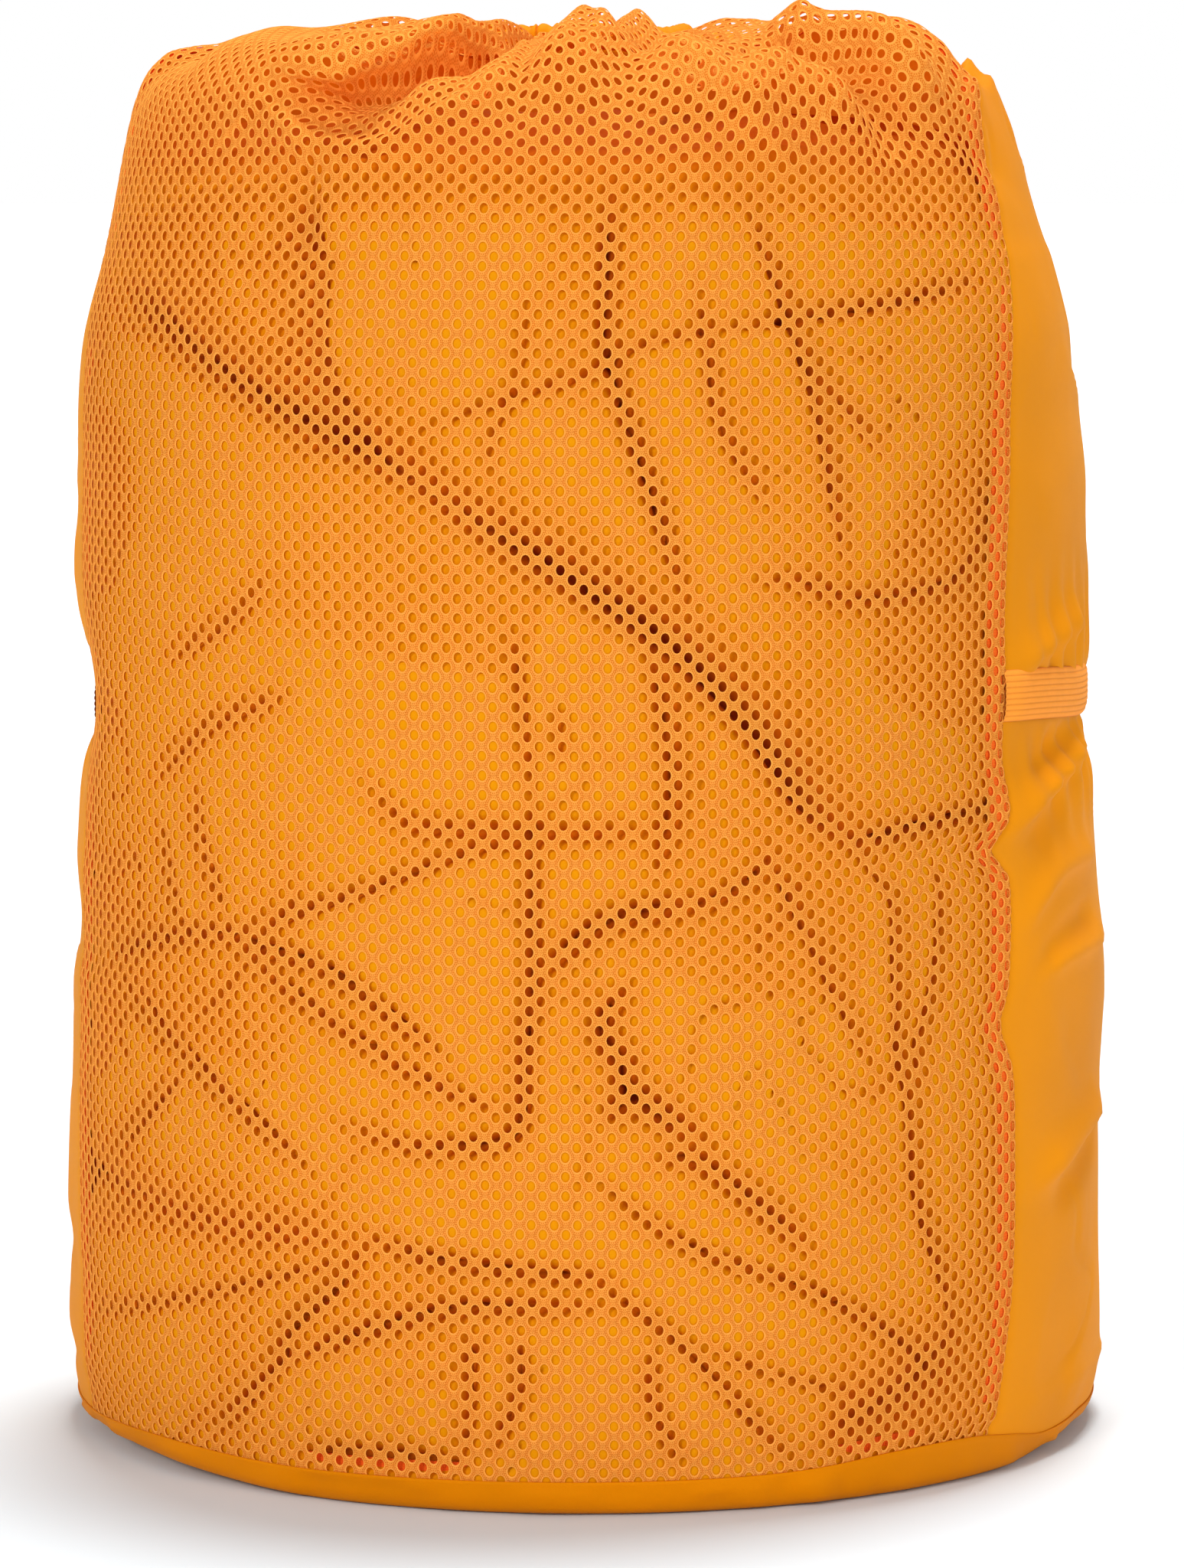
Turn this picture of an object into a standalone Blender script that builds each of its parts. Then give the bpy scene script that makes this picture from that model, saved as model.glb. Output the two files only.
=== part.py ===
"""A large mesh-fronted stuff sack, standing on its base and stuffed with a sleeping bag.

Frame: metres, +Z up, origin on the floor under the middle of the base. The mesh front faces -Y.
Angles run round the sack from the middle of the mesh front, positive towards +X.
"""

import math

import bmesh
import bpy
from mathutils import Vector

# ---- driving dimensions, in metres and degrees -------------------------------------------------

MESH_WIDTH = 0.451  # of the mesh front, from side seam to side seam, measured round the wall
GATHER_RADIUS = 0.172  # inside this radius the mesh narrows into the gathers with the rest of the wall
SEAM_GAP = 0.0006  # between two sewn panels, along the wall
LAYER_GAP = 0.0009  # between one layer of cloth and the next

MESH_THICK = 0.0015
NYLON_THICK = 0.0012
BINDING_THICK = 0.0010
BINDING_WIDTH = 0.010
LOAD_CLEARANCE = 0.0060  # from the sack's outer face to the stuffed load
LOAD_CROWN = ((0.110, 0.5418), (0.060, 0.5430))  # the load's crown under the gathers: (radius, height)
LOAD_CROWN_HEIGHT = 0.5435

BAND_WIDTH = 0.020
BAND_THICK = 0.0011
BAND_HEIGHT = 0.294  # middle of the elastic band above the floor
BAND_PINCH = 0.0065  # how far the band draws the back in
BAND_PINCH_SPREAD = 0.027
PINCH_START, PINCH_FULL = 51.0, 83.0  # the angles from the front between which the pinch grows
BAND_END_GAP = 0.0015  # along the wall, from a side seam to the band's end
# The wall between two rows of PROFILE bows in behind the pinch, so the band clears it by this.
BAND_PROUD = 0.0018
TACK_LENGTH = 0.0022
TACK_THICK = 0.0006

BASE_FLAT_RADIUS = 0.184
SEAM_ROW = 4  # index in PROFILE of the seam between the base and the walls

# The sack's outline from the edge of its flat base to its mouth, as (radius, height).
PROFILE = (
    (BASE_FLAT_RADIUS, 0.0),
    (0.1945, 0.0018),
    (0.2020, 0.0065),
    (0.2062, 0.0125),
    (0.2080, 0.0185),
    (0.2105, 0.0340),
    (0.2115, 0.0700),
    (0.2115, 0.1300),
    (0.2095, 0.1950),
    (0.2065, 0.2450),
    (0.2055, 0.2740),
    (0.2052, 0.2940),
    (0.2048, 0.3140),
    (0.2040, 0.3450),
    (0.2010, 0.4000),
    (0.1965, 0.4400),
    (0.1875, 0.4760),
    (0.1800, 0.5060),
    (0.1715, 0.5330),
    (0.1580, 0.5475),
    (0.1370, 0.5535),
    (0.1100, 0.5550),
    (0.0800, 0.5540),
    (0.0510, 0.5510),
)
BAND_ROW = 11  # index in PROFILE of the middle of the elastic band

FOLD_COUNT = 9  # gathers round the shoulder
FOLD_DEPTH = 0.0045
FOLD_START = 0.500  # height at which the gathers begin

CHANNEL_RADIUS = 0.0440  # of the gathered drawcord channel's middle line
CHANNEL_HEIGHT = 0.5520
CHANNEL_TUBE = 0.0058
CHANNEL_OPEN_DEGREES = 14.0  # the channel's open ends, at the back, where the drawcord comes out
DRAWCORD_DIAMETER = 0.0035

FRONT_STEPS = 24
BACK_STEPS = 36
RING_STEPS = 60
LOAD_STEPS = 40

# ---- materials: (colour, roughness) -----------------------------------------------------------

FINISH = {
    "mesh_knit": ((1.000, 0.350, 0.060), 0.80),
    "nylon": ((0.880, 0.310, 0.030), 0.55),
    "base_nylon": ((0.820, 0.250, 0.010), 0.55),
    "binding_tape": ((0.800, 0.210, 0.020), 0.75),
    "elastic": ((0.930, 0.300, 0.060), 0.70),
    "thread": ((0.900, 0.330, 0.080), 0.60),
    "cord": ((0.700, 0.180, 0.030), 0.70),
    "down_shell": ((0.820, 0.260, 0.010), 0.60),
}


def material(name):
    made = bpy.data.materials.get(name)
    if made is None:
        colour, roughness = FINISH[name]
        made = bpy.data.materials.new(name)
        made.use_nodes = True
        shader = made.node_tree.nodes["Principled BSDF"]
        shader.inputs["Base Color"].default_value = (*colour, 1.0)
        shader.inputs["Roughness"].default_value = roughness
        shader.inputs["Metallic"].default_value = 0.0
    return made


def clear_scene():
    for thing in list(bpy.data.objects):
        bpy.data.objects.remove(thing, do_unlink=True)


def add_object(name, data, finish):
    data.materials.append(material(finish))
    made = bpy.data.objects.new(name, data)
    bpy.context.scene.collection.objects.link(made)
    return made


# ---- the sack's wall --------------------------------------------------------------------------


def smoothstep(low, high, x):
    t = min(max((x - low) / (high - low), 0.0), 1.0)
    return t * t * (3.0 - 2.0 * t)


def gather(angle, height, radius):
    """How far the wall stands proud of its outline in the gathers round the shoulder."""
    grown = smoothstep(FOLD_START, 0.550, height) * smoothstep(CHANNEL_RADIUS, 0.09, radius)
    return FOLD_DEPTH * grown * math.cos(FOLD_COUNT * math.radians(angle))


def pinch(angle, height):
    """How far the elastic band draws the wall in."""
    away = abs((angle + 180.0) % 360.0 - 180.0)
    behind = smoothstep(PINCH_START, PINCH_FULL, away)
    return BAND_PINCH * behind * math.exp(-(((height - BAND_HEIGHT) / BAND_PINCH_SPREAD) ** 2))


def outline_normal(row):
    """The outward normal of PROFILE at a row, as (radial, vertical)."""
    low = PROFILE[max(row - 1, 0)]
    high = PROFILE[min(row + 1, len(PROFILE) - 1)]
    run, rise = high[0] - low[0], high[1] - low[1]
    length = math.hypot(run, rise)
    return rise / length, -run / length


def wall_point(angle, row, depth):
    """A point on the wall, depth metres in from its outer face."""
    radius, height = PROFILE[row]
    out, up = outline_normal(row)
    if row == 0:
        out, up = 0.0, -1.0
    proud = gather(angle, height, radius) - pinch(angle, height) - depth
    turned = math.radians(angle)
    r = radius + out * proud
    return Vector((r * math.sin(turned), -r * math.cos(turned), height + up * proud))


def grid_solid(name, outer, inner, wrap, finish):
    """A closed layer between two grids of points, each a list of rows that run upwards."""
    bm = bmesh.new()
    outside = [[bm.verts.new(p) for p in row] for row in outer]
    inside = [[bm.verts.new(p) for p in row] for row in inner]
    rows, columns = len(outer), len(outer[0])
    for i in range(rows - 1):
        for j in range(columns if wrap else columns - 1):
            k = (j + 1) % columns
            bm.faces.new((outside[i][j], outside[i][k], outside[i + 1][k], outside[i + 1][j]))
            bm.faces.new((inside[i][j], inside[i + 1][j], inside[i + 1][k], inside[i][k]))
    for j in range(columns if wrap else columns - 1):
        k = (j + 1) % columns
        bm.faces.new((outside[0][k], outside[0][j], inside[0][j], inside[0][k]))
        bm.faces.new((outside[-1][j], outside[-1][k], inside[-1][k], inside[-1][j]))
    if not wrap:
        for i in range(rows - 1):
            bm.faces.new((outside[i][0], outside[i + 1][0], inside[i + 1][0], inside[i][0]))
            bm.faces.new((outside[i + 1][-1], outside[i][-1], inside[i][-1], inside[i + 1][-1]))
    return finish_mesh(name, bm, finish)


def finish_mesh(name, bm, finish):
    bmesh.ops.recalc_face_normals(bm, faces=bm.faces)
    data = bpy.data.meshes.new(name)
    bm.to_mesh(data)
    bm.free()
    data.shade_smooth()
    data.set_sharp_from_angle(angle=math.radians(40.0))
    return add_object(name, data, finish)


def angles_between(first, last, steps):
    return [first + (last - first) * i / steps for i in range(steps + 1)]


def along_wall(length, radius):
    """The angle, in degrees, that a length round the wall spans at a radius."""
    return math.degrees(length / radius)


def seam_angle(row):
    """The angle of the right side seam at a row of PROFILE. The left seam mirrors it."""
    return along_wall(MESH_WIDTH / 2, max(PROFILE[row][0], GATHER_RADIUS))


def wall_panel(name, span, steps, thick, finish):
    """One cloth panel from the base seam to the mouth; span gives its two angles at a row."""
    rows = range(SEAM_ROW, len(PROFILE))
    outer, inner = [], []
    for row in rows:
        first, last = span(row)
        margin = along_wall(SEAM_GAP / 2, PROFILE[row][0])
        turns = angles_between(first + margin, last - margin, steps)
        outer.append([wall_point(a, row, 0.0) for a in turns])
        inner.append([wall_point(a, row, thick) for a in turns])
    return grid_solid(name, outer, inner, False, finish)


def front_mesh_panel():
    def span(row):
        return -seam_angle(row), seam_angle(row)

    return wall_panel("front_mesh_panel", span, FRONT_STEPS, MESH_THICK, "mesh_knit")


def back_panel():
    def span(row):
        return seam_angle(row), 360.0 - seam_angle(row)

    return wall_panel("back_panel", span, BACK_STEPS, NYLON_THICK, "nylon")


def base_panel():
    """The base: a flat disc whose edge turns up to the seam, as one dished layer of cloth."""
    bm = bmesh.new()
    turns = angles_between(0.0, 360.0, RING_STEPS)[:-1]
    outer, inner = [], []
    for row in range(SEAM_ROW + 1):
        lower = SEAM_GAP if row == SEAM_ROW else 0.0
        for rings, depth in ((outer, 0.0), (inner, NYLON_THICK)):
            points = [wall_point(a, row, depth) - Vector((0.0, 0.0, lower)) for a in turns]
            rings.append([bm.verts.new(p) for p in points])
    for rings, floor in ((outer, 0.0), (inner, NYLON_THICK)):
        centre = bm.verts.new((0.0, 0.0, floor))
        for j in range(RING_STEPS):
            k = (j + 1) % RING_STEPS
            bm.faces.new((centre, rings[0][j], rings[0][k]))
            for low, high in zip(rings[:-1], rings[1:], strict=True):
                bm.faces.new((low[j], low[k], high[k], high[j]))
    for j in range(RING_STEPS):
        k = (j + 1) % RING_STEPS
        bm.faces.new((outer[-1][j], outer[-1][k], inner[-1][k], inner[-1][j]))
    return finish_mesh("base_panel", bm, "base_nylon")


# ---- bindings, inside the seams ----------------------------------------------------------------


def side_binding(name, side):
    """A tape that covers a side seam on the inside, from the base binding to the mouth."""
    first_row = SEAM_ROW + 2
    near = MESH_THICK + LAYER_GAP
    outer, inner = [], []
    for row in range(first_row, len(PROFILE) - 1):
        middle = side * seam_angle(row)
        half = along_wall(BINDING_WIDTH / 2, PROFILE[row][0])
        turns = (middle - half, middle, middle + half)
        outer.append([wall_point(a, row, near) for a in turns])
        inner.append([wall_point(a, row, near + BINDING_THICK) for a in turns])
    return grid_solid(name, outer, inner, False, "binding_tape")


def base_binding():
    """A tape that covers the base seam on the inside, all the way round."""
    near = MESH_THICK + LAYER_GAP
    turns = angles_between(0.0, 360.0, RING_STEPS)[:-1]
    rows = range(SEAM_ROW - 1, SEAM_ROW + 2)
    outer = [[wall_point(a, row, near) for a in turns] for row in rows]
    inner = [[wall_point(a, row, near + BINDING_THICK) for a in turns] for row in rows]
    return grid_solid("base_seam_binding", outer, inner, True, "binding_tape")


# ---- the elastic band on the back ---------------------------------------------------------------


def band_strip(name, first, last, steps, width, near, thick, finish):
    """A strip that lies round the wall at the height of the elastic band."""
    half = width / 2
    outer, inner = [], []
    for lift in (-half, half):
        turns = angles_between(first, last, steps)
        inner.append([wall_point(a, BAND_ROW, -near) + Vector((0, 0, lift)) for a in turns])
        outer.append([wall_point(a, BAND_ROW, -near - thick) + Vector((0, 0, lift)) for a in turns])
    return grid_solid(name, outer, inner, False, finish)


def elastic_band():
    start = seam_angle(BAND_ROW) + along_wall(BAND_END_GAP, PROFILE[BAND_ROW][0])
    return band_strip(
        "elastic_band", start, 360.0 - start, BACK_STEPS, BAND_WIDTH, BAND_PROUD, BAND_THICK, "elastic"
    )


def band_tack(name, side):
    """The row of dense stitches that holds one end of the band beside its seam."""
    start = seam_angle(BAND_ROW) + along_wall(2 * BAND_END_GAP, PROFILE[BAND_ROW][0])
    length = along_wall(TACK_LENGTH, PROFILE[BAND_ROW][0])
    ends = sorted((side * start, side * (start + length)))
    near = BAND_PROUD + BAND_THICK + 0.4 * LAYER_GAP
    width = BAND_WIDTH - 0.002
    return band_strip(name, ends[0], ends[1], 2, width, near, TACK_THICK, "thread")


# ---- the mouth ----------------------------------------------------------------------------------


def ring_point(angle, tube, around):
    """A point on a tube that runs round the mouth; around turns about the tube's middle line."""
    turned = math.radians(angle)
    r = CHANNEL_RADIUS + tube * math.cos(around)
    height = CHANNEL_HEIGHT + tube * math.sin(around)
    return Vector((r * math.sin(turned), -r * math.cos(turned), height))


def drawcord_channel():
    """The gathered hem: a tube of nylon round the mouth, open at its two ends at the back."""
    sides = 8
    half_open = CHANNEL_OPEN_DEGREES / 2
    turns = angles_between(-180.0 + half_open, 180.0 - half_open, RING_STEPS)
    arounds = [2 * math.pi * (i + 0.5) / sides for i in range(sides)]
    outer = [[ring_point(a, CHANNEL_TUBE, b) for b in arounds] for a in turns]
    inner = [[ring_point(a, CHANNEL_TUBE - NYLON_THICK, b) for b in arounds] for a in turns]
    return grid_solid("drawcord_channel", outer, inner, True, "nylon")


def drawcord():
    """The drawcord, which the channel holds all the way round the mouth."""
    points = 76
    data = bpy.data.curves.new("drawcord", "CURVE")
    data.dimensions = "3D"
    data.bevel_depth = DRAWCORD_DIAMETER / 2
    data.bevel_resolution = 2
    data.use_fill_caps = True
    spline = data.splines.new("POLY")
    spline.points.add(points - 1)
    spline.use_cyclic_u = True
    for i, point in enumerate(spline.points):
        point.co = (*ring_point(360.0 * i / points, 0.0, 0.0), 1.0)
    return add_object("drawcord", data, "cord")


# ---- the load ------------------------------------------------------------------------------------


def sleeping_bag():
    """The stuffed sleeping bag: one soft solid that fills the sack up to the shoulder."""
    steps = LOAD_STEPS
    turns = angles_between(0.0, 360.0, steps)[:-1]
    bm = bmesh.new()
    rings = []
    for row in range(1, len(PROFILE) - 4):
        points = [wall_point(a, row, LOAD_CLEARANCE) for a in turns]
        lowest = LOAD_CLEARANCE
        rings.append([bm.verts.new((p.x, p.y, max(p.z, lowest))) for p in points])
    for radius, height in LOAD_CROWN:
        turned = [math.radians(a) for a in turns]
        rings.append([bm.verts.new((radius * math.sin(t), -radius * math.cos(t), height)) for t in turned])
    bottom = bm.verts.new((0.0, 0.0, LOAD_CLEARANCE))
    top = bm.verts.new((0.0, 0.0, LOAD_CROWN_HEIGHT))
    for j in range(steps):
        k = (j + 1) % steps
        bm.faces.new((bottom, rings[0][k], rings[0][j]))
        bm.faces.new((top, rings[-1][j], rings[-1][k]))
        for low, high in zip(rings[:-1], rings[1:], strict=True):
            bm.faces.new((low[j], low[k], high[k], high[j]))
    return finish_mesh("sleeping_bag", bm, "down_shell")


def main():
    clear_scene()
    base_panel()
    front_mesh_panel()
    back_panel()
    side_binding("seam_binding_right", 1)
    side_binding("seam_binding_left", -1)
    base_binding()
    elastic_band()
    band_tack("band_tack_right", 1)
    band_tack("band_tack_left", -1)
    drawcord_channel()
    drawcord()
    sleeping_bag()


main()
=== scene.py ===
"""The looks of a large mesh-fronted stuff sack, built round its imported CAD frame.

Metres, +Z up, origin on the floor under the middle of the base. The mesh front faces -Y. Angles are in
degrees, from the middle of the mesh front, positive towards +X. A place on the wall is (u, t): u runs
round the cloth from the middle of the mesh front, and t runs up it, level with height on the straight
part of the wall and on along the cloth over the shoulder to the mouth.
"""

import math

import bpy
import numpy as np
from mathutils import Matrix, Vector


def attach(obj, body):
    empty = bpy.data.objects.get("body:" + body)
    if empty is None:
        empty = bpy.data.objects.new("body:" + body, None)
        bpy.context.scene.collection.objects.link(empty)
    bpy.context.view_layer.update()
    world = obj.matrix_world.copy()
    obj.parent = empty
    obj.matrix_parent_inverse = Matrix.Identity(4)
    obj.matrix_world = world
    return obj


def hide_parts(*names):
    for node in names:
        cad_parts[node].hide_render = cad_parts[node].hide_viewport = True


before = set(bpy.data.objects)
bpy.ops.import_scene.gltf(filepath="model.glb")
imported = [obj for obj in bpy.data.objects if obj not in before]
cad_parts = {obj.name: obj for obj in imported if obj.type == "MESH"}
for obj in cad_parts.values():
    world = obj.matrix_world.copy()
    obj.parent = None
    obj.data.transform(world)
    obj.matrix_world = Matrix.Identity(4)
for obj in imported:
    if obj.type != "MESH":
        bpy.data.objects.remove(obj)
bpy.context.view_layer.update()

# ---- driving dimensions, as in the CAD model ----------------------------------------------------

MESH_WIDTH = 0.451
GATHER_RADIUS = 0.172  # inside this radius the mesh narrows into the gathers with the rest of the wall
BAND_WIDTH = 0.020
BAND_HEIGHT = 0.294
SEAM_ROW = 4  # index in PROFILE of the seam between the base and the walls
PROFILE = (  # radius and height, from the floor up over the shoulder to the mouth
    (0.1985, 0.0000), (0.2030, 0.0014), (0.2060, 0.0055), (0.2076, 0.0120), (0.2086, 0.0185),
    (0.2105, 0.0340), (0.2115, 0.0700), (0.2115, 0.1300), (0.2095, 0.1950), (0.2065, 0.2450),
    (0.2055, 0.2740), (0.2052, 0.2940), (0.2048, 0.3140), (0.2040, 0.3450), (0.2010, 0.4000),
    (0.1965, 0.4400), (0.1875, 0.4760), (0.1800, 0.5060), (0.1715, 0.5330), (0.1580, 0.5475),
    (0.1370, 0.5535), (0.1100, 0.5550), (0.0800, 0.5540), (0.0480, 0.5512),
)  # fmt: skip
CHANNEL_RADIUS = 0.0440  # of the hem that holds the drawcord, to its middle line
CHANNEL_HEIGHT = 0.5520
CHANNEL_TUBE = 0.0058  # half the hem's thickness
CHANNEL_OPEN_DEGREES = 14.0
DRAWCORD_DIAMETER = 0.0035

# ---- the cloth ----------------------------------------------------------------------------------

WALL_WIDTH = 2 * math.pi * 0.2115  # of the cloth, all the way round
HALF_MESH = MESH_WIDTH / 2
HOLE_PITCH = 0.0086  # between two holes of one row
ROW_PITCH = 0.00725  # between a row and the next but one, whose holes line up with it
HOLE_RADIUS = 0.00165  # half the width of a hole
HOLE_TALL = 1.22  # how much taller than wide a hole is
CLOTH_STEP = 0.0025  # of the grid of points that the cloth is read from
LEAN = 0.0058  # how far the top stands towards -X
REACH = 0.205  # radius at which an angle is turned into a length, for strokes drawn on the wall

# ---- strokes drawn on the wall: points are (angle, millimetres up the cloth) --------------------
# Each has its depth and its width to the left and to the right of its line, in millimetres.

# Folds of the gathered top. A negative depth is a ridge.
FOLDS = (
    (((-3, 612), (-9, 592), (-15, 572), (-21, 555), (-29, 536)), 24, 38, 13),
    (((-8, 612), (-14, 598), (-20, 579), (-26, 562), (-33, 546)), -6, 10, 18),
    (((-34, 530), (-28, 522), (-21, 515), (-14, 512), (-8, 521), (-3, 533), (3, 548)), -6, 6, 10),
    (((-1, 592), (-4, 578), (-8, 566)), 7, 8, 8),
    (((21, 598), (24, 570), (27, 540), (33, 521), (38, 509)), -6, 11, 9),
    (((20, 596), (30, 578), (41, 568), (50, 556), (54, 535), (55, 506)), 22, 24, 20),
    (((47, 590), (47, 574)), 9, 6, 6),
    (((53, 600), (55, 578), (62, 560), (66, 530)), -8, 10, 12),
    (((11, 602), (16, 580), (19, 560)), -6, 12, 12),
    (((-24, 512), (-23, 488), (-22, 470)), 3.5, 7, 9),
    (((-100, 486), (-80, 478), (-70, 474)), 5, 22, 22),
    (((-100, 545), (-80, 545), (-62, 545)), 6, 20, 20),
    (((85, 548), (100, 545), (120, 545)), 5, 20, 20),
)

# Where a lobe of the gathered top leans over the fold beside it: millimetres along, millimetres up.
LEANS = (
    (((-8, 612), (-14, 598), (-20, 579), (-26, 562), (-33, 546)), 16, -16, 9, 26),
    (((58, 572), (60, 556), (61, 535), (62, 508)), -8, -1, 22, 10),
)

# Ridges and creases of the smooth back. A negative depth is a ridge.
BACK_FOLDS = (
    (((92, 276), (82, 271), (74, 264), (68, 254), (63, 244)), -5.5, 4, 13),
    (((92, 285), (82, 281), (74, 274), (67, 264)), 4.0, 7, 6),
    (((80, 262), (72, 248), (66, 238)), 2.4, 9, 5),
    (((90, 232), (74, 226), (65, 205)), -3.8, 4, 9),
    (((86, 210), (74, 200), (66, 186)), 3.2, 7, 5),
    (((92, 199), (76, 192), (66, 184)), -3.4, 4, 9),
    (((92, 131), (80, 123), (66, 108)), -4.6, 4, 9),
    (((92, 121), (82, 112), (70, 100)), 3.4, 7, 5),
    (((88, 326), (80, 322), (72, 316), (65, 307)), -4.0, 4, 9),
    (((-110, 212), (-84, 208), (-68, 209)), 6, 11, 14),
    (((-110, 80), (-84, 77), (-66, 78)), 2.5, 7, 7),
    (((-110, 30), (-84, 28), (-66, 29)), 2.5, 7, 7),
)

# Creases of the stuffed load.
CREASES = (
    (((-60, 462), (-44, 441), (-25, 412), (-12, 394), (-1, 372)), 13, 11, 3),
    (((-6, 382), (13, 342), (22, 319), (30, 289), (35, 264), (42, 246)), 18, 9, 4),
    (((-26, 500), (-20, 470), (-19, 448), (-18, 429), (-12, 396)), 10, 2, 16),
    (((5, 460), (4, 426), (1, 400), (2, 384)), 5, 3, 3),
    (((-8, 404), (1, 415), (12, 427), (18, 438), (30, 445)), 6, 3, 2),
    (((28, 444), (43, 450), (50, 453), (62, 460)), 12, 3, 2),
    (((-25, 349), (-30, 332), (-40, 316)), 6, 3, 4),
    (((-22, 306), (-29, 298), (-34, 291), (-43, 270)), 7, 4, 3),
    (((3, 332), (4, 313), (5, 272)), 8, 2, 3),
    (((5, 272), (5, 231), (5, 205), (4, 172), (3, 145), (-4, 139), (-9, 139), (-16, 146)), 13, 3, 3),
    (((8, 304), (8, 282)), 6, 3, 3),
    (((15, 508), (14, 465), (14, 434), (17, 397), (19, 375), (22, 340)), 14, 3, 3),
    (((24, 462), (25, 439), (26, 409), (31, 378)), 8, 3, 3),
    (((31, 492), (34, 458), (37, 421), (39, 383), (40, 355)), 12, 3, 3),
    (((35, 434), (39, 421), (45, 396)), 7, 3, 3),
    (((29, 350), (35, 349), (41, 342), (50, 343), (57, 348), (60, 362), (60, 388)), 9, 3, 4),
    (((18, 330), (20, 280), (19, 254), (18, 240)), 11, 5, 4),
    (((22, 232), (12, 224), (6, 205)), 14, 5, 3),
    (((31, 247), (28, 237), (21, 228)), 9, 3, 3),
    (((30, 252), (34, 219), (38, 187), (42, 161)), 8, 3, 2),
    (((41, 248), (45, 225), (45, 196), (46, 150), (47, 113), (52, 68), (53, 45)), 12, 2.5, 2.5),
    (((52, 236), (51, 204), (49, 176), (47, 148)), 10, 2.5, 2.5),
    (((40, 249), (50, 253), (62, 257)), 14, 3, 3),
    (((15, 202), (12, 185), (14, 171), (15, 160), (23, 140)), 15, 5, 4),
    (((16, 160), (12, 152)), 12, 4, 3),
    (((17, 134), (22, 134), (31, 108), (34, 96)), 12, 4, 4),
    (((10, 132), (20, 104), (33, 85), (43, 65), (53, 42)), 9, 2, 3),
    (((-29, 215), (-15, 231), (-1, 250), (6, 254)), 9, 3, 2),
    (((-13, 276), (-9, 261), (-2, 257), (19, 257)), 8, 4, 4),
    (((-35, 268), (-35, 251), (-31, 222)), 7, 3, 3),
    (((-42, 252), (-39, 225), (-37, 212)), 7, 2.5, 2.5),
    (((-56, 196), (-42, 209), (-29, 215)), 10, 2.5, 4),
    (((-33, 215), (-25, 209), (-17, 202), (-4, 172)), 12, 3, 3),
    (((-29, 208), (-21, 192), (-6, 163), (3, 152)), 9, 3, 3),
    (((-50, 192), (-41, 175), (-27, 145), (-19, 126)), 11, 2.5, 3),
    (((-37, 158), (-45, 136), (-52, 118)), 8, 3, 3),
    (((-70, 112), (-48, 106), (-32, 101), (-12, 101)), 8, 8, 5),
    (((-13, 103), (-7, 97), (0, 94), (13, 90)), 13, 3, 3),
    (((-60, 56), (-48, 62), (-32, 76), (-12, 98)), 8, 2, 2),
    (((-13, 99), (-17, 83), (-23, 64), (-25, 49), (-34, 18)), 11, 3, 3),
    (((-24, 52), (-16, 64), (-7, 75), (-1, 79), (13, 80)), 12, 3, 3),
    (((10, 91), (16, 76), (21, 61), (29, 29), (33, 16)), 9, 3, 2),
    (((22, 66), (28, 54), (40, 41)), 6, 2, 2),
    (((-2, 70), (-2, 47), (-3, 20)), 9, 3, 3),
    (((3, 70), (3, 47), (0, 22)), 9, 3, 3),
    (((-22, 17), (-13, 19), (-2, 18)), 10, 4, 4),
    (((17, 66), (17, 43), (20, 18)), 9, 3, 3),
    (((36, 24), (48, 40), (54, 60)), 11, 16, 12),
    (((61, 30), (61, 200), (62, 330), (64, 440)), 3.5, 9, 9),
    (((-61, 40), (-62, 200), (-63, 330)), 5, 6, 6),
)

# How far the sides lie in from the outline, as (millimetres up the cloth, millimetres in).
LEFT_SIDE = (
    (0, 0), (38, 0), (67, 2.5), (80, 1.5), (110, 3), (156, 5.5), (200, 5), (230, 2.5), (259, 5),
    (274, 6), (289, 6.5), (305, 6.5), (319, 5.5), (348, 2.2), (392, 1.8), (430, 0), (665, 0),
)  # fmt: skip
RIGHT_SIDE = (
    (0, 0), (23, -1), (38, 1.5), (110, 3), (126, 3), (141, 1.8), (160, 0), (186, -2.4), (220, -1),
    (259, -0.6), (274, 2), (290, 0), (304, -1.8), (330, 0), (378, -1.4), (407, -0.6), (437, -2.4),
    (466, -2.4), (500, 0), (665, 0),
)  # fmt: skip

# How far the crest of the front stands above the outline, as (millimetres along X, millimetres up).
CREST = (
    (-200, 0), (-180, 6), (-172, 8), (-164, 11), (-157, 6), (-150, 0), (-142, -4), (-134, -6),
    (-124, -4), (-112, -2), (-100, -0.8), (-86, -2.5), (-72, -3.2), (-55, -3.5), (-38, -4), (-32, -1.5),
    (-25, -0.8), (-18, -3), (-11, -5), (-4, -3), (3, -3), (10, -8), (18, -1), (24, 3), (30, 1.5), (36, 2),
    (42, -4), (48, -8.5), (53, -8), (60, -4), (67, -3), (74, -3), (81, -2), (88, -1), (95, 4), (103, 7),
    (110, 3.5), (120, 4), (128, 4.5), (135, 5), (143, 4), (150, 1.5), (155, 0), (160, -4.5), (164, -3),
    (168, 3), (174, -0.5), (182, 3.5), (200, 3),
)  # fmt: skip

# How far the right seam strays from its course, as (millimetres up the cloth, degrees).
SEAM_WAVE = (
    (0, -4), (18, -4), (28, -2.2), (70, 0.2), (111, 0.8), (150, 0.4), (169, -2), (185, -0.4),
    (222, 0.4), (232, -1.2), (239, -3), (246, -1.2), (255, 0.4), (290, 0), (350, 1.0), (417, 2.7),
    (480, 3.4), (540, 2.5), (665, 0),
)  # fmt: skip

# The height of the base seam, as (angle, millimetres).
BASE_SEAM = (
    (-180, 9), (-100, 8), (-61, 7), (-37, 11), (0, 13), (30, 14), (44, 17.5), (55, 17.5), (63, 14),
    (72, 8), (92, 6.5), (130, 8), (180, 9),
)  # fmt: skip


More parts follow.
